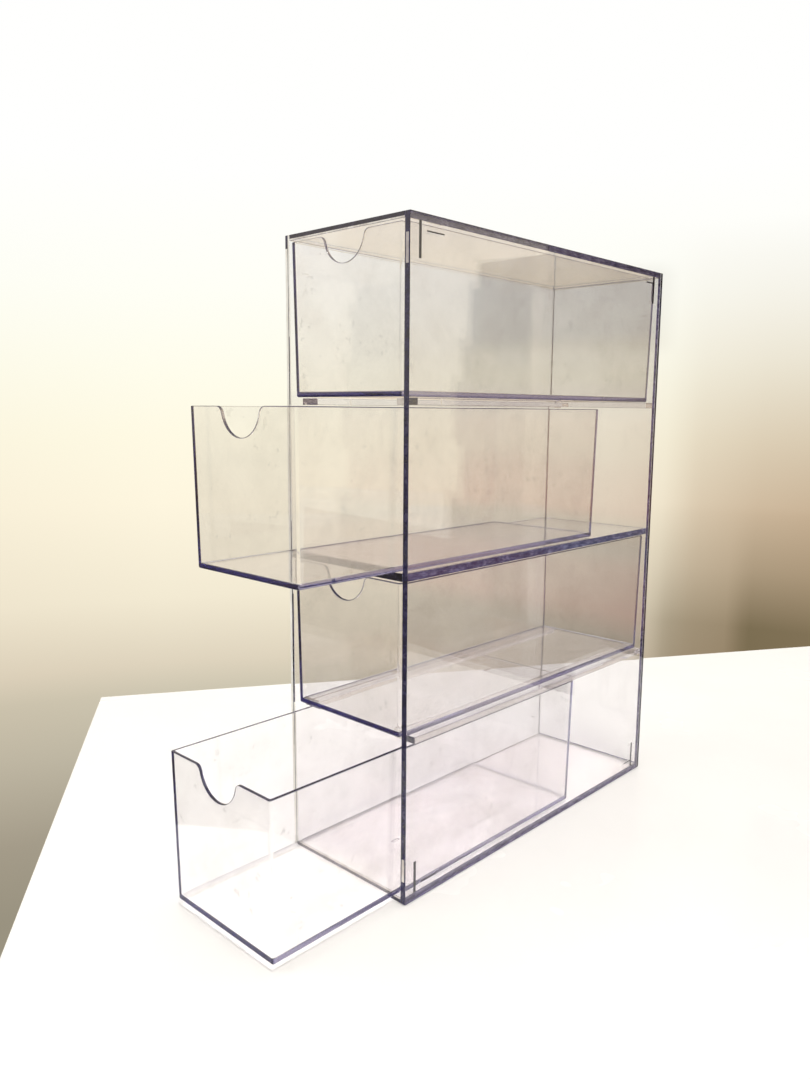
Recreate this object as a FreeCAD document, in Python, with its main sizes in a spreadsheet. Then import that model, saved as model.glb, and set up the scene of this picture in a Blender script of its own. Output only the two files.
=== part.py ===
"""Tall clear-plastic case with four drawers, as a parametric FreeCAD document.

Millimetres, +Z up. The origin is the centre of the case's base; the drawers open towards -Y.
Tiers are counted from the top: drawer_1 is the top drawer and drawer_4 is the bottom one.
"""
import os

import FreeCAD
import Part
import Sketcher

PARTS_FOLDER = "parts"

# Driving dimensions: alias, value in millimetres, what it is.
SIZES = [
    ("case_width", 66.0, "outside width of the case"),
    ("case_depth", 178.0, "outside depth of the case"),
    ("case_height", 250.0, "outside height of the case"),
    ("side_wall", 2.5, "thickness of the two side walls"),
    ("top_thickness", 2.2, "thickness of the top panel"),
    ("bottom_thickness", 2.2, "thickness of the bottom panel"),
    ("back_thickness", 2.5, "thickness of the back panel"),
    ("shelf_thickness", 3.0, "thickness of the middle shelf"),
    ("runner_thickness", 2.6, "thickness of the four runners"),
    ("runner_width", 9.0, "how far a runner reaches in from its side wall"),
    ("runner_setback", 5.9, "front of the case to the front end of a runner"),
    ("runner_nose", 17.8, "length of a runner's full-width front stretch"),
    ("runner_step", 0.6, "how much narrower a runner is behind its nose"),
    ("lug_thickness", 0.9, "thickness of the corner lugs and locating nibs"),
    ("lug_height", 12.5, "height of a corner lug"),
    ("lug_length_front", 5.9, "length of a front corner lug along the depth"),
    ("lug_length_rear", 4.0, "length of a rear corner lug along the depth"),
    ("lug_setback", 0.5, "front face of the case to a front corner lug"),
    ("toe_length", 2.9, "length of the toe at the free end of a lug"),
    ("toe_height", 1.0, "height of that toe"),
    ("nib_height", 3.3, "height of a locating nib"),
    ("nib_length_front", 9.0, "length of a front locating nib"),
    ("nib_length_rear", 6.0, "length of a rear locating nib"),
    ("nib_gap_front", 3.6, "gap between a front lug and the nib behind it"),
    ("nib_gap_rear", 1.0, "gap between a rear lug and the nib before it"),
    ("drawer_side_clearance", 1.25, "gap between a drawer's rim and a side wall"),
    ("drawer_seat_clearance", 0.3, "running gap under a drawer"),
    ("drawer_head_clearance", 0.75, "gap over a drawer"),
    ("drawer_rear_clearance", 0.7, "gap behind a shut drawer"),
    ("drawer_wall", 1.2, "thickness of the drawer walls"),
    ("drawer_floor", 1.8, "thickness of the drawer floor"),
    ("drawer_draft", 0.8, "draft of the drawer walls in degrees; a drawer is widest at its rim"),
    ("drawer_outer_radius", 0.8, "outside radius of a drawer's corners and bottom edges"),
    ("drawer_inner_radius", 0.4, "inside radius of a drawer's corners"),
    ("notch_radius", 10.5, "radius of the finger notch"),
    ("notch_shoulder_radius", 3.0, "radius of the notch's two shoulders"),
    ("gate_diameter", 4.0, "diameter of the round mark under each drawer"),
    ("gate_depth", 0.4, "depth of that mark"),
    ("drawer_1_opening", 0.0, "how far drawer 1 stands out"),
    ("drawer_2_opening", 46.7, "how far drawer 2 stands out"),
    ("drawer_3_opening", 0.0, "how far drawer 3 stands out"),
    ("drawer_4_opening", 59.3, "how far drawer 4 stands out"),
]

# Sizes that follow from the driving dimensions: alias, formula.
DERIVED = [
    ("half_depth", "=case_depth / 2"),
    ("inner_width", "=case_width - 2 * side_wall"),
    ("inner_depth", "=case_depth - back_thickness"),
    ("inner_height", "=case_height - top_thickness - bottom_thickness"),
    ("tier_height", "=(inner_height - shelf_thickness - 2 * runner_thickness) / 4"),
    ("floor_4", "=bottom_thickness"),
    ("lower_runner_base", "=floor_4 + tier_height"),
    ("floor_3", "=lower_runner_base + runner_thickness"),
    ("shelf_base", "=floor_3 + tier_height"),
    ("floor_2", "=shelf_base + shelf_thickness"),
    ("upper_runner_base", "=floor_2 + tier_height"),
    ("floor_1", "=upper_runner_base + runner_thickness"),
    ("runner_length", "=inner_depth - runner_setback"),
    ("drawer_width", "=inner_width - 2 * drawer_side_clearance"),
    ("drawer_length", "=inner_depth - drawer_rear_clearance"),
    ("drawer_height", "=tier_height - drawer_seat_clearance - drawer_head_clearance"),
    ("cavity_width", "=drawer_width - 2 * drawer_wall"),
    ("cavity_length", "=drawer_length - 2 * drawer_wall"),
    ("cavity_depth", "=drawer_height - drawer_floor"),
    ("lug_plane", "=inner_width / 2 - lug_thickness / 2"),
    ("front_nib_start", "=lug_setback + lug_length_front + nib_gap_front"),
    ("rear_nib_end", "=inner_depth - lug_length_rear - nib_gap_rear"),
]

TOLERANCE = 1e-4


def make_sheet(doc):
    """Write every dimension into a spreadsheet and give each cell its alias."""
    sheet = doc.addObject("Spreadsheet::Sheet", "Sizes")
    row = 1
    for alias, value, meaning in SIZES:
        sheet.set(f"A{row}", meaning)
        sheet.set(f"B{row}", str(value))
        sheet.setAlias(f"B{row}", alias)
        row += 1
    for alias, formula in DERIVED:
        sheet.set(f"A{row}", alias.replace("_", " "))
        sheet.set(f"B{row}", formula)
        sheet.setAlias(f"B{row}", alias)
        row += 1
    doc.recompute()
    return sheet


def bind(target, **expressions):
    """Bind properties of an object to the sheet; x, y and z stand for its position."""
    places = {"x": "Placement.Base.x", "y": "Placement.Base.y", "z": "Placement.Base.z"}
    for name, expression in expressions.items():
        target.setExpression(places.get(name, name), in_sheet(expression))


def in_sheet(expression):
    """Put the sheet's name before each alias in an expression."""
    words = expression.replace("(", "( ").replace(")", " )").split()
    aliases = {entry[0] for entry in SIZES} | {entry[0] for entry in DERIVED}
    return " ".join(f"Sizes.{word}" if word in aliases else word for word in words)


# ---- flat pieces ---------------------------------------------------------------------------


def make_plate(doc, label, width, depth, height, x, y, z):
    """A flat rectangular piece with its least corner at x, y, z."""
    plate = doc.addObject("Part::Box", label)
    plate.Label = label
    bind(plate, Length=width, Width=depth, Height=height, x=x, y=y, z=z)
    return plate


def make_case_panels(doc):
    """The six bonded panels of the case; the level ones fit between the side walls."""
    inner_left = "0 - inner_width / 2"
    front = "0 - half_depth"
    return [
        make_plate(doc, "left_side_wall", "side_wall", "case_depth", "case_height",
                   "0 - case_width / 2", front, "0"),
        make_plate(doc, "right_side_wall", "side_wall", "case_depth", "case_height",
                   "inner_width / 2", front, "0"),
        make_plate(doc, "bottom_panel", "inner_width", "case_depth", "bottom_thickness",
                   inner_left, front, "0"),
        make_plate(doc, "top_panel", "inner_width", "case_depth", "top_thickness",
                   inner_left, front, "case_height - top_thickness"),
        make_plate(doc, "back_panel", "inner_width", "back_thickness", "inner_height",
                   inner_left, "half_depth - back_thickness", "bottom_thickness"),
        make_plate(doc, "middle_shelf", "inner_width", "inner_depth", "shelf_thickness",
                   inner_left, front, "shelf_base"),
    ]


# ---- sketch helpers ------------------------------------------------------------------------


def make_body(doc, label):
    """An empty PartDesign body whose name and label are the node's name."""
    body = doc.addObject("PartDesign::Body", label)
    body.Label = label
    return body


def origin_plane(body, role):
    """The body's own origin plane of that role, such as XY_Plane."""
    return next(feature for feature in body.Origin.OriginFeatures if feature.Role == role)


def make_sketch(body, name, role, height=None):
    """A sketch on one of the body's origin planes, raised along its normal if asked."""
    sketch = body.newObject("Sketcher::SketchObject", f"{body.Name}_{name}")
    sketch.AttachmentSupport = [(origin_plane(body, role), "")]
    sketch.MapMode = "FlatFace"
    if height:
        sketch.setExpression("AttachmentOffset.Base.z", in_sheet(height))
    return sketch


def fix(sketch, kind, *where, size):
    """Add a dimension to a sketch and bind it to the sheet."""
    start = sheet_value(sketch.Document, size)
    index = sketch.addConstraint(Sketcher.Constraint(kind, *where, start))
    sketch.setExpression(f"Constraints[{index}]", in_sheet(size))


def sheet_value(doc, expression):
    """The present value of an expression over the sheet's aliases."""
    return float(doc.Sizes.evalExpression(in_sheet(expression).replace("Sizes.", "")))


def draw_outline(sketch, corners):
    """Draw a closed outline of straight lines, each level or upright, from corner sizes.

    corners holds pairs of expressions. The first corner lies at the sketch's origin, and each
    later one is fixed by its distances from the origin, none of them negative.
    """
    values = [[sheet_value(sketch.Document, size) for size in corner] for corner in corners]
    points = [FreeCAD.Vector(across, up, 0) for across, up in values]
    count = len(points)
    for start in range(count):
        sketch.addGeometry(Part.LineSegment(points[start], points[(start + 1) % count]), False)
    for line in range(count):
        sketch.addConstraint(Sketcher.Constraint("Coincident", line, 2, (line + 1) % count, 1))
    sketch.addConstraint(Sketcher.Constraint("Coincident", 0, 1, -1, 1))
    for corner in range(1, count):
        for kind, value, size in zip(("DistanceX", "DistanceY"), values[corner], corners[corner]):
            if abs(value) < TOLERANCE:
                axis = -2 if kind == "DistanceX" else -1
                sketch.addConstraint(Sketcher.Constraint("PointOnObject", corner, 1, axis))
            else:
                fix(sketch, kind, -1, 1, corner, 1, size=size)


def draw_centred_rectangle(sketch, width, length, start=None):
    """A rectangle centred on the upright axis, from start (or the level axis) up by length."""
    half = sheet_value(sketch.Document, width) / 2
    low = sheet_value(sketch.Document, start) if start else 0.0
    high = low + sheet_value(sketch.Document, length)
    points = [FreeCAD.Vector(across, up, 0)
              for across, up in ((-half, low), (half, low), (half, high), (-half, high))]
    for corner in range(4):
        sketch.addGeometry(Part.LineSegment(points[corner], points[(corner + 1) % 4]), False)
    for corner in range(4):
        sketch.addConstraint(
            Sketcher.Constraint("Coincident", corner, 2, (corner + 1) % 4, 1))
    sketch.addConstraint(Sketcher.Constraint("Symmetric", 0, 1, 0, 2, -2))
    for line, direction in ((1, "Vertical"), (2, "Horizontal"), (3, "Vertical")):
        sketch.addConstraint(Sketcher.Constraint(direction, line))
    fix(sketch, "DistanceX", 0, 1, 0, 2, size=width)
    fix(sketch, "DistanceY", 1, 1, 1, 2, size=length)
    if start:
        fix(sketch, "DistanceY", -1, 1, 0, 1, size=start)
    else:
        sketch.addConstraint(Sketcher.Constraint("PointOnObject", 0, 1, -1))


def draw_circle(sketch, radius, height):
    """A circle on the sketch's upright axis, with its centre at that height."""
    centre = FreeCAD.Vector(0, sheet_value(sketch.Document, height), 0)
    size = sheet_value(sketch.Document, radius)
    sketch.addGeometry(Part.Circle(centre, FreeCAD.Vector(0, 0, 1), size), False)
    sketch.addConstraint(Sketcher.Constraint("PointOnObject", 0, 3, -2))
    fix(sketch, "DistanceY", -1, 1, 0, 3, size=height)
    fix(sketch, "Radius", 0, size=radius)


def make_pad(body, sketch, length, both_ways=False, draft=None):
    """Pad a sketch by a length; with a draft it is padded downwards and narrows as it goes."""
    pad = body.newObject("PartDesign::Pad", f"{sketch.Name}_pad")
    pad.Profile = sketch
    pad.Midplane = both_ways
    pad.setExpression("Length", in_sheet(length))
    if draft:
        pad.Reversed = True
        pad.setExpression("TaperAngle", in_sheet(f"0 - {draft}"))
    sketch.Visibility = False
    body.Document.recompute()
    return pad


def make_pocket(body, sketch, depth, upwards=False, draft=None):
    """Cut a sketch into the body, and check that the cut takes something away."""
    before = body.Shape.Volume
    pocket = body.newObject("PartDesign::Pocket", f"{sketch.Name}_pocket")
    pocket.Profile = sketch
    pocket.Reversed = upwards
    pocket.setExpression("Length", in_sheet(depth))
    if draft:
        pocket.setExpression("TaperAngle", in_sheet(f"0 - {draft}"))
    sketch.Visibility = False
    body.Document.recompute()
    if body.Shape.Volume > before - TOLERANCE:
        raise RuntimeError(f"{pocket.Name} cuts nothing")
    return pocket


def make_fillet(body, name, radius, chosen):
    """Round the edges of the body's tip that the test chosen(edge) picks."""
    tip = body.Tip
    picked = [f"Edge{number}" for number, edge in enumerate(tip.Shape.Edges, 1) if chosen(edge)]
    if not picked:
        raise RuntimeError(f"{body.Name}: no edge for {name}")
    fillet = body.newObject("PartDesign::Fillet", f"{body.Name}_{name}")
    fillet.Base = (tip, picked)
    fillet.setExpression("Radius", in_sheet(radius))
    body.Document.recompute()
    if fillet.Shape.isNull():
        raise RuntimeError(f"{fillet.Name} has failed")
    return fillet


def runs_along(edge, axis):
    """Whether an edge is straight and parallel to that axis."""
    if len(edge.Vertexes) != 2:
        return False
    span = edge.Vertexes[1].Point - edge.Vertexes[0].Point
    return span.Length > TOLERANCE and abs(abs(span.dot(axis)) - edge.Length) < TOLERANCE


def spans(edge, low, high):
    """Whether an edge reaches from one height to the other, and no further."""
    heights = [vertex.Z for vertex in edge.Vertexes]
    return abs(min(heights) - low) < TOLERANCE and abs(max(heights) - high) < TOLERANCE


# ---- runners -------------------------------------------------------------------------------


def make_runner(doc, label, on_left, base):
    """A ledge on a side wall, a little wider over its nose. Its back end meets the back panel.

    It is drawn from the left wall inwards. The right one is turned half round the Y axis.
    """
    body = make_body(doc, label)
    sketch = make_sketch(body, "plan", "XY_Plane")
    draw_outline(sketch, [
        ("0", "0"),
        ("runner_width", "0"),
        ("runner_width", "runner_nose"),
        ("runner_width - runner_step", "runner_nose"),
        ("runner_width - runner_step", "runner_length"),
        ("0", "runner_length"),
    ])
    make_pad(body, sketch, "runner_thickness")
    if on_left:
        bind(body, x="0 - inner_width / 2", y="runner_setback - half_depth", z=base)
    else:
        turn(body, FreeCAD.Vector(0, 1, 0))
        bind(body, x="inner_width / 2", y="runner_setback - half_depth",
             z=f"{base} + runner_thickness")
    return body


def turn(body, axis):
    """Turn a body half round an axis through its own origin."""
    body.Placement.Rotation = FreeCAD.Rotation(axis, 180)


def make_runners(doc):
    """The four runners: a pair under drawer 1 and a pair under drawer 3."""
    runners = []
    for level in ("upper", "lower"):
        for side in ("left", "right"):
            runners.append(make_runner(doc, f"{level}_{side}_runner", side == "left",
                                       f"{level}_runner_base"))
    return runners


# ---- corner lugs and nibs ------------------------------------------------------------------


def make_lug(doc, label, at_top, at_rear, side):
    """A thin lug bonded into a corner of the case, with a toe at its free end.

    The profile stands in the YZ plane: it rises from the bottom panel, and its toe points to
    the back. A half turn about an axis gives the lug in each other corner.
    """
    body = make_body(doc, label)
    sketch = make_sketch(body, "profile", "YZ_Plane")
    length = "lug_length_rear" if at_rear else "lug_length_front"
    draw_outline(sketch, [
        ("0", "0"),
        (length, "0"),
        (length, "lug_height - toe_height"),
        (f"{length} + toe_length", "lug_height - toe_height"),
        (f"{length} + toe_length", "lug_height"),
        ("0", "lug_height"),
    ])
    make_pad(body, sketch, "lug_thickness", both_ways=True)
    if at_top and at_rear:
        turn(body, FreeCAD.Vector(1, 0, 0))
    elif at_top:
        turn(body, FreeCAD.Vector(0, 1, 0))
    elif at_rear:
        turn(body, FreeCAD.Vector(0, 0, 1))
    bind(body,
         x="lug_plane" if side == "right" else "0 - lug_plane",
         y="inner_depth - half_depth" if at_rear else "lug_setback - half_depth",
         z="case_height - top_thickness" if at_top else "bottom_thickness")
    return body


def make_nib(doc, label, at_top, at_rear, side):
    """A low nib on the top or bottom panel, a short way behind or before a lug."""
    length = "nib_length_rear" if at_rear else "nib_length_front"
    start = "rear_nib_end - nib_length_rear" if at_rear else "front_nib_start"
    base = "case_height - top_thickness - nib_height" if at_top else "bottom_thickness"
    outer = "inner_width / 2 - lug_thickness" if side == "right" else "0 - inner_width / 2"
    return make_plate(doc, label, "lug_thickness", length, "nib_height",
                      outer, f"{start} - half_depth", base)


def make_corner_pieces(doc):
    """A lug and a nib for each of the eight corners of the case."""
    pieces = []
    for level in ("top", "bottom"):
        for end in ("front", "rear"):
            for side in ("left", "right"):
                corner = f"{level}_{end}_{side}"
                place = (level == "top", end == "rear", side)
                pieces.append(make_lug(doc, f"{corner}_lug", *place))
                pieces.append(make_nib(doc, f"{corner}_nib", *place))
    return pieces


# ---- drawers -------------------------------------------------------------------------------


def make_drawer(doc, number):
    """One moulded open-topped box with a finger notch in the middle of its front wall.

    In the body's own frame the front of the rim stands over the X axis and the box runs back
    along +Y. Its walls lean in towards the floor by the draft, inside and outside alike.
    """
    body = make_body(doc, f"drawer_{number}")
    along_depth = FreeCAD.Vector(0, 1, 0)
    floor = sheet_value(doc, "drawer_floor")
    rim = sheet_value(doc, "drawer_height")
    reach = sheet_value(doc, "cavity_width") / 2 + TOLERANCE

    block = make_sketch(body, "plan", "XY_Plane", "drawer_height")
    draw_centred_rectangle(block, "drawer_width", "drawer_length")
    make_pad(body, block, "drawer_height", draft="drawer_draft")
    make_fillet(body, "outside_corners", "drawer_outer_radius",
                lambda edge: spans(edge, 0, rim) or spans(edge, 0, 0))

    cavity = make_sketch(body, "cavity", "XY_Plane", "drawer_height")
    draw_centred_rectangle(cavity, "cavity_width", "cavity_length", "drawer_wall")
    make_pocket(body, cavity, "cavity_depth", draft="drawer_draft")

    def inside_corner(edge):
        """The four uprights of the cavity and the four edges round its floor."""
        within = all(abs(vertex.X) < reach for vertex in edge.Vertexes)
        return within and (spans(edge, floor, rim) or spans(edge, floor, floor))

    make_fillet(body, "inside_corners", "drawer_inner_radius", inside_corner)

    notch = make_sketch(body, "notch", "XZ_Plane")
    draw_circle(notch, "notch_radius", "drawer_height")
    make_pocket(body, notch, "drawer_wall * 2")
    notch_end = sheet_value(doc, "notch_radius")

    def notch_shoulder(edge):
        """The two short edges where the notch breaks the rim."""
        return runs_along(edge, along_depth) and spans(edge, rim, rim) \
            and abs(abs(edge.Vertexes[0].X) - notch_end) < TOLERANCE

    make_fillet(body, "notch_shoulders", "notch_shoulder_radius", notch_shoulder)

    gate = make_sketch(body, "gate", "XY_Plane")
    draw_circle(gate, "gate_diameter / 2", "drawer_length / 2")
    make_pocket(body, gate, "gate_depth", upwards=True)

    bind(body, y=f"0 - half_depth - drawer_{number}_opening",
         z=f"floor_{number} + drawer_seat_clearance")
    return body


# ---- build, check, export ------------------------------------------------------------------


def check(doc, pieces):
    """Stop if any object has failed or any piece isn't one sound solid."""
    for thing in doc.Objects:
        if {"Invalid", "Error"} & set(thing.State):
            raise RuntimeError(f"{thing.Label}: {thing.State}")
    for piece in pieces:
        shape = piece.Shape
        if shape.isNull() or not shape.isValid() or len(shape.Solids) != 1:
            raise RuntimeError(f"{piece.Label}: not one valid solid")


def main():
    doc = FreeCAD.newDocument("drawer_case")
    make_sheet(doc)
    pieces = make_case_panels(doc)
    pieces += make_runners(doc)
    pieces += make_corner_pieces(doc)
    pieces += [make_drawer(doc, number) for number in (1, 2, 3, 4)]
    doc.recompute()
    check(doc, pieces)
    os.makedirs(PARTS_FOLDER, exist_ok=True)
    for piece in pieces:
        piece.Shape.exportStep(f"{PARTS_FOLDER}/{piece.Label}.step")
        box = piece.Shape.optimalBoundingBox(False)
        print(f"{piece.Label}: {piece.Shape.Volume:.1f} mm3, x {box.XMin:.2f}..{box.XMax:.2f}, "
              f"y {box.YMin:.2f}..{box.YMax:.2f}, z {box.ZMin:.2f}..{box.ZMax:.2f}")


main()
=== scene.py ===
"""Looks of the clear four-drawer case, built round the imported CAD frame.

Metres, row frame: +Z up, the drawers open to -Y, the origin is the centre of the case's base.
Sizes inside the mesh code are in millimetres and are turned into metres as the mesh is made.
"""
import itertools
import math

import bpy
from mathutils import Matrix, Vector


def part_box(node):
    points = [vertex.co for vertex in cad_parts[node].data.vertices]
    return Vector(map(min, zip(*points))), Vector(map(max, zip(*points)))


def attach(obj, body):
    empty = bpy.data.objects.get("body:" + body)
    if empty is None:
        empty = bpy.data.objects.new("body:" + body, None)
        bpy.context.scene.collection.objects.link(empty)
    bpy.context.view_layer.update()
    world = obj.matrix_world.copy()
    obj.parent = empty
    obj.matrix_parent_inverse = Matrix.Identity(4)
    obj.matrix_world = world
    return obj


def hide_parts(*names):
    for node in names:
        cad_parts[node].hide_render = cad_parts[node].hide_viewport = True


MM = 0.001

# Camera, fitted to the photograph's straight edges. Millimetres, degrees and pixels.
IMAGE_HEIGHT = 1080
FOCAL_PIXELS = 853.631
SENSOR_WIDTH = 36.0
CAMERA_PLACE = (235.94, -304.96, 183.98)
CAMERA_AZIMUTH, CAMERA_DROP, CAMERA_ROLL = 43.4115, 8.6337, 0.4117

# The drawers' moulding, millimetres. The rest comes from the frame's boxes.
DRAWER_WALL = 1.2
DRAWER_FLOOR = 1.8
DRAWER_DRAFT = math.radians(0.8)
OUTER_RADIUS, INNER_RADIUS = 0.8, 0.4
RIM_RADIUS = 0.3
NOTCH_RADIUS, SHOULDER_RADIUS = 10.5, 3.0
# The points under the notch are spread evenly this far below the rim and past its ends.
NOTCH_BASE, NOTCH_SPREAD = 15.0, 3.0
GATE_RADIUS, GATE_DEPTH = 2.0, 0.4

CORNER_STEPS, NOTCH_STEPS, SHOULDER_STEPS = 6, 18, 8
FOOT_STEPS, RIM_STEPS, FLOOR_STEPS = 6, 3, 4
SHARP = 0.02  # The least radius of a drawer's corner, so that its loop keeps all its points.

# The case, millimetres.
BOND_GAP = 0.03  # A gap between bonded pieces, so that no two faces lie in one plane.
PLATE_ROUND, PLATE_STEPS = 0.22, 2
RUNNER_BEVEL, CORNER_BEVEL = 0.12, 0.05
RUNNER_NOSE, RUNNER_STEP, RUNNER_LIP = 17.8, 0.6, 0.7
RUNNER_DARK_END = 5.0
TOE_LENGTH, TOE_HEIGHT = 2.1, 1.0
LUG_STRIP, NIB_STRIP, DARK_LAYER = 1.2, 0.5, 0.25

SMOOTH_LIMIT = 0.6  # The least cosine between a face and an exact normal that it takes on.
BOUNCES = 128  # Light runs the length of a drawer's wall in up to 70 mirrorings.

FRONT, REAR, UP, DOWN = (0, -1, 0), (0, 1, 0), (0, 0, 1), (0, 0, -1)
LEFT, RIGHT = (-1, 0, 0), (1, 0, 0)

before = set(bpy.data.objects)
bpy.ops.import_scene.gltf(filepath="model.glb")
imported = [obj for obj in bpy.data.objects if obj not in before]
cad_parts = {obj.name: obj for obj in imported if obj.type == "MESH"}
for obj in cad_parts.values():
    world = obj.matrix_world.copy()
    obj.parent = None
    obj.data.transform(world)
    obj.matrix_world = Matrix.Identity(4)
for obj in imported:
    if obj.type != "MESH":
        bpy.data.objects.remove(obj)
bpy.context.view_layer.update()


# ---- materials -----------------------------------------------------------------------------


def srgb(*levels):
    """Linear colour of a display colour given as 0 to 255."""
    linear = []
    for level in levels:
        share = level / 255.0
        linear.append(share / 12.92 if share <= 0.04045 else ((share + 0.055) / 1.055) ** 2.4)
    return (*linear, 1.0)


class Nodes:
    """The node tree of a material or the world, with short ways to add and link nodes."""

    def __init__(self, owner, output="OutputMaterial"):
        self.owner = owner
        owner.use_nodes = True
        self.tree = owner.node_tree
        self.tree.nodes.clear()
        self.output = self.add(output)

    def add(self, kind, **settings):
        node = self.tree.nodes.new(f"ShaderNode{kind}")
        for key, value in settings.items():
            setattr(node, key, value)
        return node

    def link(self, source, target):
        self.tree.links.new(source, target)

    def noise(self, scale, detail=3.0, roughness=0.55, stretch=None):
        place = self.add("TexCoord").outputs["Object"]
        if stretch:
            mapping = self.add("Mapping")
            mapping.inputs["Scale"].default_value = stretch
            self.link(place, mapping.inputs["Vector"])
            place = mapping.outputs["Vector"]
        node = self.add("TexNoise")
        node.inputs["Scale"].default_value = scale
        node.inputs["Detail"].default_value = detail
        node.inputs["Roughness"].default_value = roughness
        self.link(place, node.inputs["Vector"])
        return node.outputs["Fac"]

    def ramp(self, source, *stops):
        node = self.add("ValToRGB")
        points = node.color_ramp.elements
        while len(points) < len(stops):
            points.new(0.5)
        for point, (place, colour) in zip(points, stops):
            point.position = place
            point.color = colour if hasattr(colour, "__len__") else (colour, colour, colour, 1)
        self.link(source, node.inputs["Fac"])
        return node.outputs["Color"]

    def math(self, operation, first, second=0.0, third=0.0):
        node = self.add("Math", operation=operation)
        for socket, value in zip(node.inputs, (first, second, third)):
            if isinstance(value, (int, float)):
                socket.default_value = value
            else:
                self.link(value, socket)
        return node.outputs[0]

    def vector(self, operation, first, second=None):
        node = self.add("VectorMath", operation=operation)
        self.link(first, node.inputs[0])
        if second:
            node.inputs[1].default_value = second
        return node.outputs["Value" if operation == "DOT_PRODUCT" else "Vector"]

    def blend(self, share, first, second, kind="MIX"):
        node = self.add("MixRGB", blend_type=kind)
        for socket, value in zip(node.inputs, (share, first, second)):
            if isinstance(value, (int, float, tuple)):
                socket.default_value = value
            else:
                self.link(value, socket)
        return node.outputs[0]

    def mirrored(self, start=0):
        """1 for light that a surface has mirrored on its way, 0 for light straight through.

        start is the ray depth that Cycles counts where light goes straight from the camera.
        """
        path = self.add("LightPath")
        return self.math("GREATER_THAN", self.math("SUBTRACT", path.outputs["Ray Depth"],
                                                   path.outputs["Transmission Depth"]),
                         start + 0.5)

    def bump(self, height, distance):
        node = self.add("Bump")
        node.inputs["Strength"].default_value = 1.0
        node.inputs["Distance"].default_value = distance
        self.link(height, node.inputs["Height"])
        return node.outputs["Normal"]

    def mix(self, share, first, second):
        """A mix of two shaders: a share of 0 shows the first and 1 the second."""
        node = self.add("MixShader")
        for socket, source in zip(node.inputs, (share, first, second)):
            self.link(source, socket)
        return node.outputs["Shader"]


SHADOW_TINT = (0.988, 0.984, 0.981, 1)
PLASTIC_TINT = (0.996, 0.991, 0.985, 1)
ACRYLIC = 1.49  # Refractive index.


def clear_plastic(name, absorb, density, haze_and_shade, shade, shadow=SHADOW_TINT, index=ACRYLIC,
                  shade_cloud=0.0):
    """Clear plastic that bends light, darkens to violet along its length and lets lamps through.

    A thin film of dust and finger marks lies on its outside only, so that light that runs along
    inside a wall is dimmed by the plastic alone and the edges come out dark. haze is the least
    share of the surface that the film covers: dust on plain walls, and painted shade where the
    film is dark and thick, as on the drawers' rim and foot. cloud adds film in patches that are
    painted shade, for soft shadows seen through the walls, with fine scuffs that are wear.
    """
    n = Nodes(bpy.data.materials.new(name))
    glass = n.add("BsdfPrincipled")
    glass.inputs["Base Color"].default_value = PLASTIC_TINT
    glass.inputs["Transmission Weight"].default_value = 1.0
    glass.inputs["IOR"].default_value = index
    smears = n.noise(28.0, detail=4.0)
    n.link(n.ramp(smears, (0.45, 0.0), (0.8, 0.02)), glass.inputs["Roughness"])
    film = n.add("BsdfDiffuse")
    film.inputs["Color"].default_value = shade
    marks = n.ramp(n.noise(45.0, detail=4.0, roughness=0.65), (0.5, haze_and_shade), (0.68, haze_and_shade * 4.0))
    dust = n.ramp(n.noise(700.0, detail=1.0), (0.79, 0.0), (0.82, 0.3))
    outside = n.math("SUBTRACT", 1.0, n.add("NewGeometry").outputs["Backfacing"])
    worn_and_shaded = n.math("MAXIMUM", marks, dust)
    if shade_cloud:
        # Patches of film that are painted shade, for the soft shadows seen through the walls; the
        # fine scratches in them are wear.
        clouds = n.noise(34.0, detail=4.0, roughness=0.6)
        patches = n.ramp(clouds, (0.42, 0.0), (0.56, shade_cloud), (0.7, shade_cloud * 2.2))
        scratches = n.ramp(n.noise(220.0, detail=3.0, roughness=0.65), (0.6, 0.0), (0.67, 0.16))
        scuffs = n.math("MULTIPLY", scratches, n.ramp(clouds, (0.47, 0.0), (0.56, 1.0)))
        worn_and_shaded = n.math("MAXIMUM", n.math("ADD", worn_and_shaded, patches), scuffs)
    cover = n.math("MULTIPLY", worn_and_shaded, outside)
    dirty_and_shaded = n.mix(cover, glass.outputs["BSDF"], film.outputs["BSDF"])
    clear = n.add("BsdfTransparent")
    clear.inputs["Color"].default_value = shadow
    n.link(n.mix(n.add("LightPath").outputs["Is Shadow Ray"], dirty_and_shaded, clear.outputs["BSDF"]),
           n.output.inputs["Surface"])
    volume = n.add("VolumeAbsorption")
    volume.inputs["Color"].default_value = absorb
    volume.inputs["Density"].default_value = density
    n.link(volume.outputs["Volume"], n.output.inputs["Volume"])
    return n.owner


def edge(name, low, high, scale, stretch=None, coat=0.3, gloss=0.5):
    """A cut or bonded plate edge: mottled between two colours, painted shade and painted light for
    how light running in the clear plastic shows there, with saw marks in its gloss.
    """
    n = Nodes(bpy.data.materials.new(name))
    body = n.add("BsdfPrincipled")
    mottle = n.noise(scale, detail=5.0, roughness=0.7, stretch=stretch)
    n.link(n.ramp(mottle, (0.35, low), (0.65, high)), body.inputs["Base Color"])
    n.link(n.ramp(mottle, (0.3, 0.12), (0.7, 0.35)), body.inputs["Roughness"])
    body.inputs["Coat Weight"].default_value = coat
    body.inputs["Specular IOR Level"].default_value = gloss
    n.link(n.bump(mottle, 0.00004), body.inputs["Normal"])
    n.link(body.outputs["BSDF"], n.output.inputs["Surface"])
    return n.owner


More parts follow.
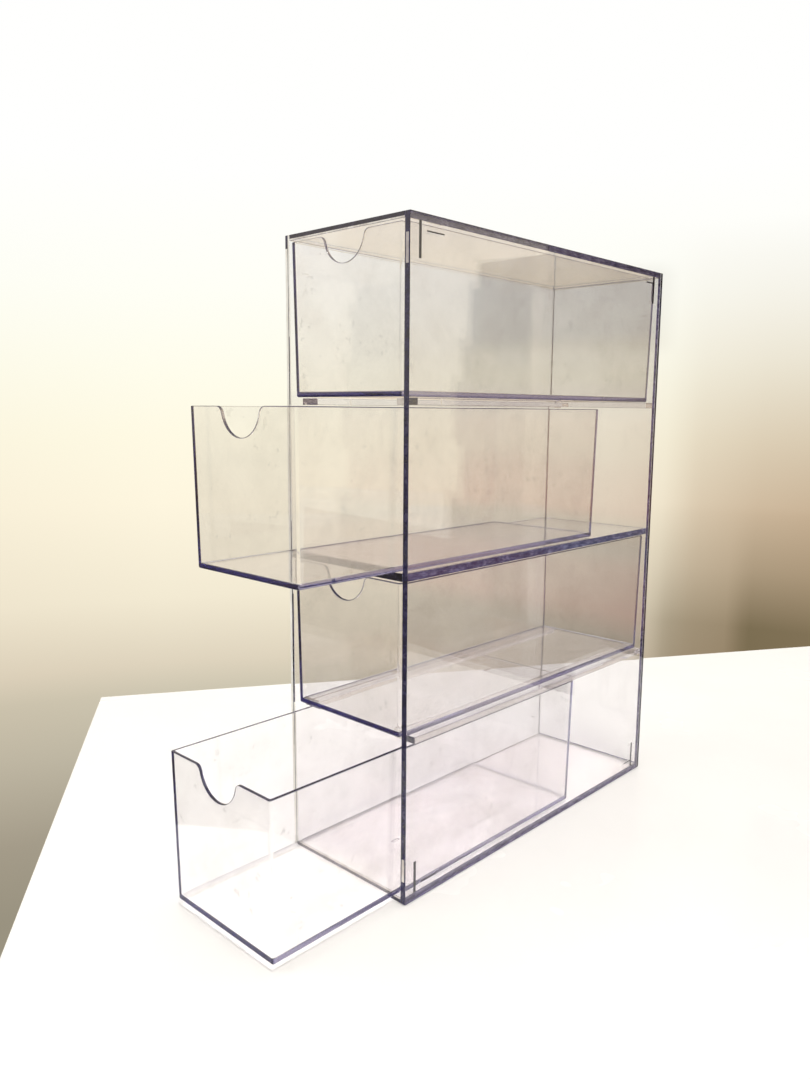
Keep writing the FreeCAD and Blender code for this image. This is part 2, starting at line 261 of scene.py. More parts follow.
# What the plastic lets through along its length, and how strongly it takes the rest.
CASE_TINT, DRAWER_TINT = (0.03, 0.0, 0.4, 1), (0.02, 0.0, 0.52, 1)
LEDGE_TINT = (0.1, 0.02, 0.35, 1)
CASE_DENSITY, DRAWER_DENSITY, RUNNER_DENSITY, LUG_DENSITY = 14.0, 15.0, 12.0, 6.0
CASE = clear_plastic("case_clear", CASE_TINT, CASE_DENSITY, 0.012, srgb(158, 138, 116))
# The drawers' patches of film are painted shade.
DRAWER = clear_plastic("drawer_clear", DRAWER_TINT, DRAWER_DENSITY, 0.01, srgb(156, 144, 126),
                       shade_cloud=0.035)
# The photograph shows the rim and the foot darker than the plain wall.
# Their dark film is painted shade, thin dark lines for the light that their rounding bends away;
# their shadows for lamps are darker too.
DRAWER_RIM = clear_plastic("drawer_rim", DRAWER_TINT, DRAWER_DENSITY, 0.13, srgb(84, 78, 98),
                           (0.8, 0.78, 0.77, 1))
DRAWER_FOOT = clear_plastic("drawer_foot", DRAWER_TINT, DRAWER_DENSITY, 0.04,
                            srgb(60, 52, 110), (0.6, 0.57, 0.58, 1))
RUNNER = clear_plastic("runner_clear", LEDGE_TINT, RUNNER_DENSITY, 0.03, srgb(205, 200, 200))
# Light hardly bends where it meets a lug, because it is bonded to its wall.
LUG = clear_plastic("lug_clear", LEDGE_TINT, LUG_DENSITY, 0.0, srgb(205, 200, 200), index=1.06)
# Painted shade: edges drawn dark where light is trapped inside the clear plastic.
CUT_EDGE = edge("cut_edge", srgb(22, 20, 46), srgb(46, 42, 80), 300.0)
SHELF_EDGE = edge("shelf_edge", srgb(10, 9, 22), srgb(28, 26, 48), 300.0)
LUG_LINE = edge("lug_line", srgb(4, 3, 10), srgb(20, 16, 30), 300.0, coat=0.0, gloss=0.0)
TOP_EDGE = edge("top_edge", srgb(22, 20, 36), srgb(48, 44, 66), 300.0)
ALONG_Y, ALONG_Z = (1, 0.3, 1), (1, 1, 0.4)  # Mottling drawn out along an axis.
# Painted shade on bonded edges and on the sides of the top and the shelf, with lit copies, the far
# ones, painted lighter towards the rear.
BOND_EDGE = edge("bonded_edge", srgb(74, 70, 106), srgb(136, 128, 168), 700.0, ALONG_Y)
TOP_SIDE = edge("top_side", srgb(62, 58, 96), srgb(122, 114, 150), 700.0, ALONG_Y)
TOP_SIDE_FAR = edge("top_side_far", srgb(104, 98, 136), srgb(156, 148, 186), 700.0, ALONG_Y)
SHELF_SIDE = edge("shelf_side", srgb(46, 52, 88), srgb(106, 110, 152), 900.0, ALONG_Y)
SHELF_SIDE_FAR = edge("shelf_side_far", srgb(70, 74, 110), srgb(126, 130, 170), 900.0, ALONG_Y)
GREY_EDGE = edge("grey_edge", srgb(118, 108, 114), srgb(156, 146, 150), 300.0)
# Painted light: pale and light edges where light gets through the plastic, and white for a painted
# highlight along the far upright's front.
PALE_EDGE = edge("pale_edge", srgb(150, 142, 146), srgb(188, 180, 178), 200.0)
LIGHT_EDGE = edge("light_edge", srgb(196, 188, 180), srgb(244, 240, 232), 160.0, ALONG_Z)
WHITE_EDGE = edge("white_edge", srgb(226, 222, 212), srgb(250, 248, 242), 160.0, ALONG_Z)


# ---- mesh helpers --------------------------------------------------------------------------


def arc(start, end, steps):
    """Angles from start to end in even steps."""
    return [start + (end - start) * step / steps for step in range(steps + 1)]


def finish_mesh(name, points, normals, faces, slots, materials, body, nodes, slot):
    """Make a piece from millimetre points and hang it on its body, in place of CAD nodes.

    A face's corners take their points' exact normals, or its own where it stands well off them
    or normals is None.
    """
    mesh = bpy.data.meshes.new(name)
    mesh.from_pydata([[value * MM for value in point] for point in points], [], faces)
    for material in materials:
        mesh.materials.append(material)
    for polygon, slot_number in zip(mesh.polygons, slots):
        polygon.material_index = slot_number
        polygon.use_smooth = True
    mesh.update()
    corners = []
    for polygon in mesh.polygons:
        flat = polygon.normal.copy()
        for vertex in polygon.vertices:
            exact = normals[vertex] if normals else flat
            corners.append(exact if exact.dot(flat) > SMOOTH_LIMIT else flat)
    mesh.normals_split_custom_set(corners)
    piece = bpy.data.objects.new(name, mesh)
    bpy.context.scene.collection.objects.link(piece)
    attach(piece, body)
    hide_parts(*nodes)


def rounded_plate(low, high, paint, cuts):
    """A plate with rounded edges: its points, normals, faces and material slots.

    cuts are more grid lines across each axis. paint(facing, middle) gives a face's slot.
    """
    ticks = [PLATE_ROUND * math.tan(turn) for turn in arc(0, math.pi / 4, PLATE_STEPS)]
    lines = [sorted([least + tick for tick in ticks] + more + [most - tick for tick in ticks])
             for least, most, more in zip(low, high, cuts)]
    points, normals, faces, slots, known = [], [], [], [], {}
    inner_low = [value + PLATE_ROUND for value in low]
    inner_high = [value - PLATE_ROUND for value in high]

    def vertex(place):
        key = tuple(round(value, 5) for value in place)
        if key not in known:
            core = Vector([min(max(value, a), b)
                           for value, a, b in zip(place, inner_low, inner_high)])
            out = (Vector(place) - core).normalized()
            known[key] = len(points)
            points.append(core + out * PLATE_ROUND)
            normals.append(out)
        return known[key]

    for axis in range(3):
        across, up = (axis + 1) % 3, (axis + 2) % 3
        for side, level in ((-1, low[axis]), (1, high[axis])):
            facing = tuple(side if k == axis else 0 for k in range(3))
            for i in range(len(lines[across]) - 1):
                for j in range(len(lines[up]) - 1):
                    ring, middle = [], [0.0] * 3
                    for a, b in ((i, j), (i + 1, j), (i + 1, j + 1), (i, j + 1)):
                        place = [0.0] * 3
                        place[axis] = level
                        place[across] = lines[across][a]
                        place[up] = lines[up][b]
                        ring.append(vertex(place))
                        middle = [total + value / 4 for total, value in zip(middle, place)]
                    faces.append(ring if side > 0 else ring[::-1])
                    slots.append(paint(facing, middle))
    return points, normals, faces, slots


def box_of(node, gaps=((0, 0), (0, 0), (0, 0))):
    """A CAD node's box in millimetres, drawn in by small bonding gaps."""
    low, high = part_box(node)
    return ([low[k] / MM + gaps[k][0] for k in range(3)],
            [high[k] / MM - gaps[k][1] for k in range(3)])


def add_plate(node, gaps, dark_faces, patches=()):
    """Replace a panel of the case. dark_faces maps an outward direction to an edge material, whose
    colours are painted shade and painted light.

    Each patch is a direction, the two corners of a box and the material of that direction's
    faces inside the box.
    """
    low, high = box_of(node, gaps)
    materials = [CASE, *dark_faces.values(), *(patch[3] for patch in patches)]
    materials = list(dict.fromkeys(materials))
    cuts = [[], [], []]
    for _, least, most, _ in patches:
        for axis in range(3):
            inside = (low[axis] + 2 * PLATE_ROUND, high[axis] - 2 * PLATE_ROUND)
            cuts[axis] += [value for value in (least[axis], most[axis])
                           if inside[0] < value < inside[1] and value not in cuts[axis]]

    def paint(facing, middle):
        found = dark_faces.get(facing, CASE)
        for direction, least, most, material in patches:
            if facing == direction and all(a < v < b for a, v, b in zip(least, middle, most)):
                found = material
        return materials.index(found)

    finish_mesh(f"{node}_look", *rounded_plate(low, high, paint, cuts), materials, "case",
                [node], "case_clear")


def prism(outline, axis, low, high, bevel, split=()):
    """An outline run along an axis, with small bevels at both ends: its points and faces.

    outline is in the plane across the axis, counter-clockwise seen from the axis's far end.
    The faces come as the low end, bands of one face per side, and the high end. There are
    three bands, and one more for each level in split.
    """
    count = len(outline)
    outward = []
    for k in range(count):
        before = Vector(outline[k]) - Vector(outline[k - 1])
        after = Vector(outline[(k + 1) % count]) - Vector(outline[k])
        n1 = Vector((before.y, -before.x)).normalized()
        n2 = Vector((after.y, -after.x)).normalized()
        outward.append((n1 + n2) / (1 + n1.dot(n2)))
    points = []
    levels = [(low, bevel), (low + bevel, 0), *((level, 0) for level in split),
              (high - bevel, 0), (high, bevel)]
    for level, shrink in levels:
        for corner, out in zip(outline, outward):
            place = [0.0] * 3
            place[axis] = level
            place[(axis + 1) % 3], place[(axis + 2) % 3] = Vector(corner) - out * shrink
            points.append(Vector(place))
    faces = [list(range(count))[::-1]]
    bands = len(levels) - 1
    for band in range(bands):
        for k in range(count):
            a, b = band * count + k, band * count + (k + 1) % count
            faces.append([a, b, b + count, a + count])
    faces.append(list(range(bands * count, (bands + 1) * count)))
    return points, faces


def add_runner(node, outline, low, high, paint):
    """Replace a runner. paint(side, band) gives the material of a face of its outline's sides."""
    points, faces = prism(outline, 2, low, high, RUNNER_BEVEL, (low + RUNNER_LIP,))
    count = len(outline)
    looks = [RUNNER] + [paint(number % count, number // count)
                        for number in range(len(faces) - 2)] + [RUNNER]
    materials = list(dict.fromkeys(looks))
    finish_mesh(f"{node}_look", points, None, faces, [materials.index(look) for look in looks],
                materials, "case", [node], "runner_clear")


def add_corner_piece(node, outline, dark_outline, low, high):
    """Replace a lug or nib by an outline in (y, z) run along x, from low to high.

    A dark outline is a thin layer of painted shade on the wall's side of the piece, where its free
    edge shows.
    """
    layers = [(outline, low, high)]
    if dark_outline:
        layers = [(outline, low, high - DARK_LAYER),
                  (dark_outline, high - DARK_LAYER + BOND_GAP, high)]
    points, faces, slots = [], [], []
    for tone, (shape, start_x, end_x) in enumerate(layers):
        start = len(points)
        more_points, more_faces = prism(shape, 0, start_x, end_x, CORNER_BEVEL)
        points += more_points
        faces += [[start + corner for corner in face] for face in more_faces]
        slots += [tone] * len(more_faces)
    finish_mesh(f"{node}_look", points, None, faces, slots, [LUG, LUG_LINE], "case", [node],
                "lug_clear")


# ---- the case ------------------------------------------------------------------------------

BOTH, NONE = (BOND_GAP, BOND_GAP), (0, 0)
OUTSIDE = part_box("right_side_wall")[1][0] / MM
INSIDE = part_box("right_side_wall")[0][0] / MM
FAR = 1000.0  # Past the case on every side, for a patch that runs to the end of a face.


def build_case():
    # The near upright's front is painted shade, and painted light where the lugs are bonded behind
    # it.
    margin = 0.6
    right = [(FRONT, (INSIDE + margin, -FAR, z0), (OUTSIDE - margin, FAR, z1), look)
             for z0, z1, look in ((9.0, 18.0, LIGHT_EDGE), (233.0, 243.0, PALE_EDGE))]
    # The far one's front is a painted highlight but for a painted dark line along it, thicker in
    # places, and its painted dark top.
    line_inset, top_width, line_top = 1.4, 0.2, 245.0
    line = line_inset - OUTSIDE
    line_levels = (0.5, 64.0, 110.0, 140.0, 186.0, 212.0, line_top)
    line_widths = (0.35, 0.95, 0.6, 0.25, 0.6, 0.35)
    left = [(FRONT, (line, -FAR, z0), (line + width, FAR, z1), CUT_EDGE)
            for z0, z1, width in zip(line_levels, line_levels[1:], line_widths)]
    left.append((FRONT, (-FAR, -FAR, line_top), (line + top_width, FAR, FAR), CUT_EDGE))
    add_plate("left_side_wall", (NONE, NONE, NONE),
              {FRONT: WHITE_EDGE, REAR: PALE_EDGE, UP: CUT_EDGE, DOWN: BOND_EDGE}, left)
    add_plate("right_side_wall", (NONE, NONE, NONE),
              {FRONT: CUT_EDGE, REAR: CUT_EDGE, UP: CUT_EDGE, DOWN: BOND_EDGE}, right)
    # The top's front edge is painted dark in its upper part only, and the bottom's in its lower
    # part, with painted light on the rest. The side bands of the top and of the shelf are painted
    # lighter towards the rear.
    top_dark_from, bottom_dark_to = 248.45, 1.5
    top_pale_from, shelf_pale_from = -6.0, 0.0
    add_plate("top_panel", (BOTH, NONE, NONE),
              {FRONT: TOP_EDGE, REAR: CUT_EDGE, LEFT: BOND_EDGE, RIGHT: TOP_SIDE},
              [(FRONT, (-FAR, -FAR, -FAR), (FAR, FAR, top_dark_from), LIGHT_EDGE),
               (RIGHT, (-FAR, top_pale_from, -FAR), (FAR, FAR, FAR), TOP_SIDE_FAR)])
    add_plate("bottom_panel", (BOTH, NONE, NONE),
              {FRONT: CUT_EDGE, REAR: CUT_EDGE, LEFT: PALE_EDGE, RIGHT: BOND_EDGE},
              [(FRONT, (-FAR, -FAR, bottom_dark_to), (FAR, FAR, FAR), LIGHT_EDGE)])
    add_plate("middle_shelf", (BOTH, (0, BOND_GAP), NONE),
              {FRONT: SHELF_EDGE, REAR: BOND_EDGE, LEFT: BOND_EDGE, RIGHT: SHELF_SIDE},
              [(RIGHT, (-FAR, shelf_pale_from, -FAR), (FAR, FAR, FAR), SHELF_SIDE_FAR)])
    add_plate("back_panel", (BOTH, NONE, BOTH),
              {LEFT: PALE_EDGE, RIGHT: BOND_EDGE, UP: BOND_EDGE, DOWN: BOND_EDGE})


def build_runners():
    """The runners: outlines in (x, y), which start where the front's dark end begins."""
    wall, dark_end = INSIDE - BOND_GAP, INSIDE - RUNNER_DARK_END
    for level, side in itertools.product(("upper", "lower"), ("left", "right")):
        node = f"{level}_{side}_runner"
        low, high = box_of(node)
        inner = INSIDE - (high[0] - low[0])
        front, rear, nose = low[1], high[1] - BOND_GAP, low[1] + RUNNER_NOSE
        outline = [(dark_end, front), (wall, front), (wall, rear), (inner + RUNNER_STEP, rear),
                   (inner + RUNNER_STEP, nose), (inner, nose), (inner, front)]
        last = len(outline) - 1

        def near(part, band):
            """Painted shade at the wall's end of the front, painted light beside it, painted shade
            along its foot.
            """
            if part == 0 or (part == 1 and band == 0):
                return CUT_EDGE
            return LIGHT_EDGE if part == last else RUNNER

        def away(part, band):
            """Grey over the whole front, above its lip."""
            return GREY_EDGE if part in (last - 1, last) and band > 1 else RUNNER

        if side == "left":
            outline = [(-x, y) for x, y in outline][::-1]
        add_runner(node, outline, low[2], high[2], near if side == "right" else away)


def build_corner_pieces():
    """Lugs and nibs. On the near wall their free edges are painted dark, painted shade; elsewhere
    they are clear.
    """
    for level, end, side in itertools.product(("top", "bottom"), ("front", "rear"),
                                              ("left", "right")):
        corner = f"{level}_{end}_{side}"
        dark = side == "right"
        bonded = (0, BOND_GAP) if dark else (BOND_GAP, 0)
        footing = (0, BOND_GAP) if level == "top" else (BOND_GAP, 0)
        low, high = box_of(f"{corner}_lug", (bonded, NONE, footing))
        if end == "rear":
            high[1] -= BOND_GAP
        near, far = (low[1], high[1]) if end == "front" else (high[1], low[1])
        foot, head = (low[2], high[2]) if level == "bottom" else (high[2], low[2])
        inward = 1 if far > near else -1
        upward = 1 if head > foot else -1
        shank = far - inward * TOE_LENGTH
        neck = head - upward * TOE_HEIGHT
        strip = shank - inward * LUG_STRIP
        shape = [(near, foot), (shank, foot), (shank, neck), (far, neck), (far, head),
                 (near, head)]
        line = [(strip, foot), (shank, foot), (shank, head), (strip, head)]
        if inward * upward < 0:
            shape, line = shape[::-1], line[::-1]
        add_corner_piece(f"{corner}_lug", shape, line if dark else None, low[0], high[0])
        low, high = box_of(f"{corner}_nib", (bonded, NONE, footing))
        free = low[2] if level == "top" else high[2] - NIB_STRIP
        shape, line = ([(low[1], least), (high[1], least), (high[1], most), (low[1], most)]
                       for least, most in ((low[2], high[2]), (free, free + NIB_STRIP)))
        add_corner_piece(f"{corner}_nib", shape, line if dark else None, low[0], high[0])


# ---- drawers -------------------------------------------------------------------------------


def rim_profile(height):
    """The front wall's upper edge across the notch: places (x, z) and normals, left to right."""
    shoulder_x = math.sqrt((NOTCH_RADIUS + SHOULDER_RADIUS) ** 2 - SHOULDER_RADIUS ** 2)
    dip = math.asin(SHOULDER_RADIUS / (NOTCH_RADIUS + SHOULDER_RADIUS))
    half = []
    for turn in arc(math.pi / 2, dip, SHOULDER_STEPS):
        normal = (math.cos(turn), math.sin(turn))
        half.append((-shoulder_x + SHOULDER_RADIUS * normal[0],
                     height - SHOULDER_RADIUS + SHOULDER_RADIUS * normal[1], normal))
    for turn in arc(math.pi + dip, math.pi * 3 / 2, NOTCH_STEPS)[1:]:
        spoke = (math.cos(turn), math.sin(turn))
        half.append((NOTCH_RADIUS * spoke[0], height + NOTCH_RADIUS * spoke[1],
                     (-spoke[0], -spoke[1])))
    mirrored = [(-x, z, (-normal[0], normal[1])) for x, z, normal in half[-2::-1]]
    return half + mirrored


def drawer_loops(half_w, half_l, height):
    """The moulding as loops with as many points each, which bands of faces join.

    They go from the gate mark under the floor up outside, over the rim and down inside. Each
    is a material, which the band above it takes, and a list of places and normals.
    """
    lean = math.tan(DRAWER_DRAFT)
    sin_d, cos_d = math.sin(DRAWER_DRAFT), math.cos(DRAWER_DRAFT)
    notch = rim_profile(height)
    base = height - NOTCH_BASE
    spread = notch[-1][0] + NOTCH_SPREAD

    def columns(out_w, out_l, radius):
        """One loop, counter-clockwise from above, as (x, y, outward direction, notch number)."""
        loop = []
        corners = [(-1, -1, 180), (1, -1, 270), (1, 1, 0), (-1, 1, 90)]
        for index, (sx, sy, start) in enumerate(corners):
            for degrees in arc(start, start + 90, CORNER_STEPS):
                turn = math.radians(degrees)
                spoke = (math.cos(turn), math.sin(turn))
                loop.append((sx * (out_w - radius) + radius * spoke[0],
                             sy * (out_l - radius) + radius * spoke[1], spoke, None))
            if index == 0:
                for place in range(len(notch)):
                    share = place / (len(notch) - 1)
                    loop.append((-spread + 2 * spread * share, -out_l, (0, -1), place))
        return loop

    def gate_ring(reach, z):
        """A round loop of the gate mark, with a point for each one of the floor's edge."""
        turns = [math.atan2(y, x) for x, y, _, _ in columns(half_w + reach, half_l + reach, SHARP)]
        return [((GATE_RADIUS * math.cos(turn), GATE_RADIUS * math.sin(turn), z), (0, 0, -1))
                for turn in turns]

    def ring(reach, z, radius, tilt, facing):
        """A level loop whose wall stands reach out from the rim's line.

        tilt is the normal's z, and facing is 1 on the outside and -1 on the inside.
        """
        level = math.sqrt(1 - tilt * tilt) * facing
        return [((x, y, z), (spoke[0] * level, spoke[1] * level, tilt))
                for x, y, spoke, _ in columns(half_w + reach, half_l + reach, max(radius, SHARP))]

    def rim_ring(wall, radius, turn, facing):
        """A loop in the rim's rounding, which follows the notch.

        turn goes from 0 on the wall, which stands wall out from the rim's line, to a right
        angle on top.
        """
        tilt = math.sin(turn)
        drop, depth = RIM_RADIUS * (1 - tilt), RIM_RADIUS * (1 - math.cos(turn)) * facing
        reach = wall - drop * lean - depth
        level = math.sqrt(max(0.0, 1 - tilt * tilt)) * facing
        entries = []
        for x, y, spoke, place in columns(half_w + reach, half_l + reach, radius - depth):
            z, up = height - drop, (0.0, 1.0)
            if place is not None:
                x, z, up = notch[place]
                x, z = x - up[0] * drop, z - up[1] * drop
                y = -(half_l + wall - (height - z) * lean) + depth
            entries.append(((x, y, z),
                            (spoke[0] * level + up[0] * tilt, spoke[1] * level, up[1] * tilt)))
        return entries

    # Outside, from the gate mark under the floor up to the rim.
    centre = -(height - OUTER_RADIUS * (1 - sin_d)) * lean - OUTER_RADIUS * cos_d
    loops = [(DRAWER, gate_ring(centre, z)) for z in (GATE_DEPTH, 0.0)]
    for turn in arc(-math.pi / 2, -DRAWER_DRAFT, FOOT_STEPS):
        loops.append((DRAWER_FOOT, ring(centre + OUTER_RADIUS * math.cos(turn),
                                        OUTER_RADIUS * (1 + math.sin(turn)),
                                        OUTER_RADIUS * math.cos(turn), math.sin(turn), 1)))
    loops[-1] = (DRAWER, loops[-1][1])  # The plain wall begins above the foot's last loop.
    loops.append((DRAWER, ring(-(height - base) * lean, base, OUTER_RADIUS, -sin_d, 1)))
    loops += [(DRAWER_RIM, rim_ring(0.0, OUTER_RADIUS, turn, 1))
              for turn in arc(0, math.pi / 2, RIM_STEPS)]
    # Inside, down to the floor.
    loops += [(DRAWER, rim_ring(-DRAWER_WALL, INNER_RADIUS, turn, -1))
              for turn in arc(math.pi / 2, 0, RIM_STEPS)]
    loops.append((DRAWER, ring(-DRAWER_WALL - (height - base) * lean, base, INNER_RADIUS,
                               sin_d, -1)))
    touch = DRAWER_FLOOR + INNER_RADIUS * (1 - sin_d)
    centre = -DRAWER_WALL - (height - touch) * lean - INNER_RADIUS * cos_d
    for turn in arc(DRAWER_DRAFT, math.pi / 2, FLOOR_STEPS):
        loops.append((DRAWER, ring(centre + INNER_RADIUS * math.cos(turn),
                                   DRAWER_FLOOR + INNER_RADIUS * (1 - math.sin(turn)),
                                   INNER_RADIUS * math.cos(turn), math.sin(turn), -1)))
    return loops


def build_drawer(number):
    node = f"drawer_{number}"
    low, high = box_of(node)
    loops = drawer_loops((high[0] - low[0]) / 2, (high[1] - low[1]) / 2, high[2] - low[2])
    middle = Vector(((low[0] + high[0]) / 2, (low[1] + high[1]) / 2, low[2]))
    points = [Vector(place) + middle for _, loop in loops for place, _ in loop]
    normals = [Vector(normal).normalized() for _, loop in loops for _, normal in loop]
    count, last = len(loops[0][1]), len(loops) - 1
    faces, looks = [list(range(count))[::-1]], [DRAWER]
    for band in range(last):
        for k in range(count):
            a, b = band * count + k, band * count + (k + 1) % count
            faces.append([a, b, b + count, a + count])
            looks.append(loops[band][0])
    faces.append(list(range(last * count, (last + 1) * count)))
    looks.append(DRAWER)
    materials = [DRAWER, DRAWER_RIM, DRAWER_FOOT]
    finish_mesh(f"{node}_look", points, normals, faces, [materials.index(look) for look in looks],
                materials, node, [node], "drawer_clear")


# ---- stage, light and camera ---------------------------------------------------------------


def add_stage(name, points, faces, material):
    """A thing of the stage, made from millimetre points."""
    mesh = bpy.data.meshes.new(name)
    mesh.from_pydata([[value * MM for value in point] for point in points], [], faces)
    mesh.materials.append(material)
    thing = bpy.data.objects.new(name, mesh)
    bpy.context.scene.collection.objects.link(thing)
    return thing


def table_white():
    """The table's paint, a little glossy, with faint wear, and a faint painted glow for rays that
    come to it straight through the plastic.
    """
    n = Nodes(bpy.data.materials.new("table_white"))
    top = n.add("BsdfPrincipled")
    wear = n.noise(9.0, detail=4.0)
    n.link(n.ramp(wear, (0.3, srgb(246, 245, 243)), (0.7, srgb(250, 249, 247))),
           top.inputs["Base Color"])
    n.link(n.ramp(wear, (0.3, 0.2), (0.7, 0.3)), top.inputs["Roughness"])
    top.inputs["Specular IOR Level"].default_value = 0.2
    # The photograph's table is bright enough to stay white through several walls of plastic.
    # This glow is painted light: the table gives off a little light of its own to such rays.
    through = n.math("MULTIPLY", n.add("LightPath").outputs["Is Transmission Ray"],
                     n.math("SUBTRACT", 1.0, n.mirrored()))
    n.link(n.math("MULTIPLY", through, 0.08), top.inputs["Emission Strength"])
    top.inputs["Emission Color"].default_value = (1.0, 0.99, 0.985, 1)
    n.link(top.outputs["BSDF"], n.output.inputs["Surface"])
    return n.owner


def build_floor():
    """A plain white table top, whose back and left edges lie as the photograph has them."""
    corner = Vector((-270, -55))
    length, width, thick, round_by, under = 1200, 1500, 22.0, 1.5, 0.2
    along, across = length * Vector((0.829, -0.559)), width * Vector((0.532, 0.847))
    outline = [corner, corner + along, corner + along + across, corner + across]
    middle = sum(outline, Vector((0, 0))) / 4
    points = []
    for z, inset in ((-thick, 0.0), (-round_by, 0.0), (-round_by * 0.3, round_by * 0.3),
                     (0.0, round_by)):
        for place in outline:
            flat = place + (middle - place).normalized() * inset
            points.append((flat.x, flat.y, z))
    faces = [[3, 2, 1, 0], [12, 13, 14, 15]]
    for ring, k in itertools.product(range(3), range(4)):
        a, b = ring * 4 + k, ring * 4 + (k + 1) % 4
        faces.append([a, b, b + 4, a + 4])
    table = add_stage("table", points, faces, table_white())
    table.location.z = -under * MM


def build_shelf_card():
    """Rows of things behind on the right, in a stepped stack, which only mirrored light meets."""
    stack_y, top = 162.0, 300.0
    n = Nodes(bpy.data.materials.new("shelf_rows"))
    split = n.add("SeparateXYZ")
    n.link(n.add("TexCoord").outputs["Object"], split.inputs["Vector"])
    height = n.math("MULTIPLY", split.outputs["Z"], 1.0 / (top * MM))
    rows = n.ramp(height, (0.0, srgb(60, 54, 56)), (0.15, srgb(44, 38, 42)),
                  (0.2, srgb(150, 84, 86)), (0.29, srgb(138, 96, 100)), (0.33, srgb(70, 72, 84)),
                  (0.38, srgb(104, 90, 76)), (0.41, srgb(176, 96, 66)), (0.49, srgb(168, 106, 80)),
                  (0.53, srgb(168, 132, 104)), (0.59, srgb(176, 140, 116)),
                  (0.64, srgb(140, 122, 112)), (0.68, srgb(142, 128, 76)),
                  (0.74, srgb(130, 114, 66)), (0.77, srgb(50, 42, 34)), (0.9, srgb(44, 38, 32)),
                  (1.0, srgb(90, 80, 70)))
    glow = n.add("Emission")
    n.link(rows, glow.inputs["Color"])
    n.link(n.mix(n.mirrored(), n.add("BsdfTransparent").outputs["BSDF"],
                 glow.outputs["Emission"]), n.output.inputs["Surface"])
    # Each step of the stack: its left and right ends, its lowest and its highest level.
    steps = [(118, 380, 0, 36), (66, 380, 36, 92), (66, 226, 92, 122), (66, 214, 122, 160),
             (66, 222, 160, 204), (66, 216, 204, 228), (66, 209, 228, 266),
             (66, 202, 266, 282)]
    panels = [((start, stack_y), (end, stack_y), low, high) for start, end, low, high in steps]
    # Light off the far wall passes to the left of them and meets a second face behind.
    panels.append(((150, stack_y + 1), (150, 320), 0, top))
    points = [(x, y, z) for left, right, low, high in panels
              for (x, y), z in ((left, low), (right, low), (right, high), (left, high))]
    faces = [list(range(start, start + 4)) for start in range(0, len(points), 4)]
    card = add_stage("shelf_card", points, faces, n.owner)
    card.visible_camera = card.visible_diffuse = card.visible_shadow = False


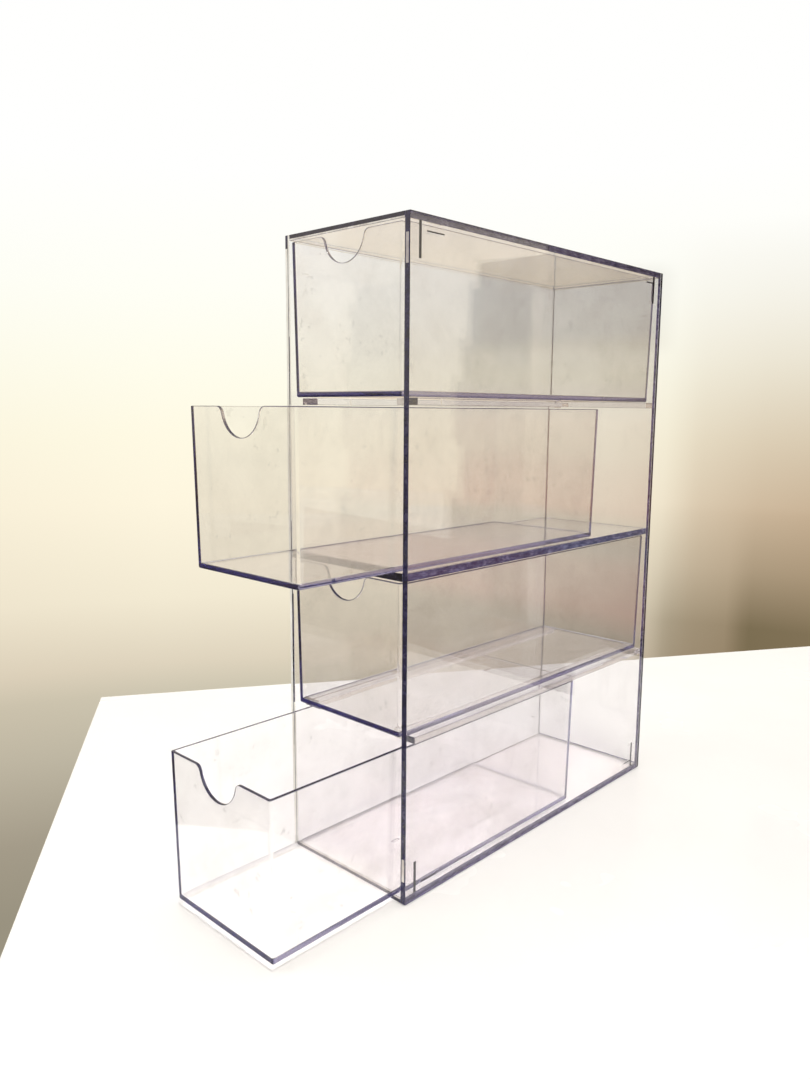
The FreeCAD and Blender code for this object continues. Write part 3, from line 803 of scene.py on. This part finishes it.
def build_world():
    """Soft white light, and a cream wall for the rays that show it.

    Light mirrored by the plastic meets a room instead, which is darker below the horizon at the
    front left and above it in front.
    """
    world = bpy.data.worlds.new("studio")
    bpy.context.scene.world = world
    n = Nodes(world, "OutputWorld")
    place = n.add("TexCoord").outputs["Generated"]
    split = n.add("SeparateXYZ")
    n.link(place, split.inputs["Vector"])
    # Height of the direction, -0.5 to 0.5 spread over 0 to 1.
    height = n.math("ADD", split.outputs["Z"], 0.5)
    level = n.vector("NORMALIZE", n.vector("MULTIPLY", place, (1, 1, 0)))
    # From left to right as the camera sees the wall, -1 to 1 spread over 0 to 1.
    across = n.math("MULTIPLY_ADD", n.vector("DOT_PRODUCT", level, (0.7266, 0.687, 0.0)), 0.5, 0.5)

    def lay(base, colour, share, along, upward):
        """base with a colour laid over it, as far as a ramp along the share and one up it say."""
        cover = n.math("MULTIPLY", n.ramp(share, *along), n.ramp(height, *upward))
        return n.blend(cover, base, colour)

    wall = n.ramp(height, (0.0, srgb(154, 149, 132)), (0.06, srgb(165, 158, 141)),
                  (0.135, srgb(192, 185, 166)), (0.19, srgb(206, 198, 177)),
                  (0.22, srgb(223, 212, 190)), (0.29, srgb(243, 234, 211)),
                  (0.395, srgb(254, 246, 223)), (0.47, srgb(255, 250, 228)),
                  (0.54, srgb(255, 253, 236)), (0.63, srgb(255, 255, 246)),
                  (0.75, srgb(255, 255, 254)))
    # The shadow on the wall at the right.
    shaded = lay(wall, srgb(150, 98, 20), across,
                 ((0.25, 0.08), (0.36, 0.0), (0.53, 0.0), (0.61, 0.05), (0.645, 0.19),
                  (0.662, 0.42), (0.692, 0.55), (0.72, 0.6), (0.95, 0.25)),
                 ((0.39, 1.0), (0.446, 0.82), (0.5, 0.62), (0.557, 0.4), (0.61, 0.24),
                  (0.66, 0.12), (0.7, 0.0)))
    # A deeper shadow on the foot of the wall, behind the case and to its right.
    shaded = lay(shaded, srgb(112, 100, 72), across,
                 ((0.55, 0.0), (0.6, 0.3), (0.64, 0.3), (0.65, 0.55), (0.68, 0.6), (0.69, 0.9),
                  (0.95, 0.4)),
                 ((0.27, 1.0), (0.33, 0.45), (0.4, 0.0)))
    # A faint painted shade on the wall behind the top drawer.
    shaded = lay(shaded, srgb(100, 80, 50), across,
                 ((0.525, 0.0), (0.55, 0.13), (0.635, 0.13), (0.648, 0.0)),
                 ((0.56, 0.0), (0.575, 1.0), (0.645, 1.0), (0.662, 0.0)))

    room = n.blend(1.0, wall, srgb(255, 245, 230), "MULTIPLY")
    left_front = n.vector("DOT_PRODUCT", level, (-0.68, -0.733, 0.0))
    room = lay(room, srgb(96, 90, 84), left_front, ((0.6, 0.0), (0.9, 1.0)),
               ((0.43, 0.8), (0.5, 0.0)))
    front = n.vector("DOT_PRODUCT", level, (0.0, -1.0, 0.0))
    room = lay(room, srgb(120, 104, 80), front, ((0.72, 0.0), (0.86, 1.0)),
               ((0.5, 0.0), (0.56, 0.6)))

    light, seen = n.add("Background"), n.add("Background")
    light.inputs["Color"].default_value = (1.0, 0.985, 0.955, 1)
    light.inputs["Strength"].default_value = 0.75
    n.link(n.blend(n.mirrored(start=1), shaded, room), seen.inputs["Color"])
    path = n.add("LightPath")
    rays = n.math("MAXIMUM", path.outputs["Is Glossy Ray"], path.outputs["Is Transmission Ray"])
    rays = n.math("MAXIMUM", rays, path.outputs["Is Camera Ray"])
    n.link(n.mix(rays, light.outputs["Background"], seen.outputs["Background"]),
           n.output.inputs["Surface"])


def add_lamp(name, place, size, power, colour):
    """A round lamp at a place in metres, aimed at the case."""
    aim = (0, 0, 0.1)
    data = bpy.data.lights.new(name, "AREA")
    data.shape, data.size = "DISK", size
    data.energy, data.color = power, colour
    lamp = bpy.data.objects.new(name, data)
    lamp.location = place
    lamp.rotation_mode = "QUATERNION"
    lamp.rotation_quaternion = (Vector(aim) - Vector(place)).to_track_quat("-Z", "Y")
    bpy.context.scene.collection.objects.link(lamp)


def build_camera():
    turn, drop, roll = (math.radians(v) for v in (CAMERA_AZIMUTH, CAMERA_DROP, CAMERA_ROLL))
    ahead = Vector((-math.sin(turn) * math.cos(drop), math.cos(turn) * math.cos(drop),
                    -math.sin(drop)))
    level = ahead.cross(Vector((0, 0, 1))).normalized()
    rise = level.cross(ahead)
    right = level * math.cos(roll) + rise * math.sin(roll)
    up = rise * math.cos(roll) - level * math.sin(roll)
    data = bpy.data.cameras.new("camera")
    data.sensor_width = SENSOR_WIDTH
    data.lens = FOCAL_PIXELS * SENSOR_WIDTH / IMAGE_HEIGHT
    data.clip_start = 0.01
    camera = bpy.data.objects.new("camera", data)
    axes = Matrix((right, up, -ahead)).transposed().to_4x4()
    camera.matrix_world = Matrix.Translation(Vector(CAMERA_PLACE) * MM) @ axes
    bpy.context.scene.collection.objects.link(camera)
    bpy.context.scene.camera = camera


build_case()
build_runners()
build_corner_pieces()
for tier in (1, 2, 3, 4):
    build_drawer(tier)
build_floor()
build_shelf_card()
build_world()
add_lamp("key", place=(0.42, -0.2, 1.3), size=0.22, power=7.4, colour=(1.0, 0.97, 0.92))
add_lamp("fill", place=(-0.7, -0.9, 1.1), size=1.0, power=3.9, colour=(1.0, 0.98, 0.95))
build_camera()

scene = bpy.context.scene
scene.view_settings.view_transform = "Standard"
for limit in ("max", "transmission", "glossy", "transparent_max"):
    setattr(scene.cycles, f"{limit}_bounces", BOUNCES)
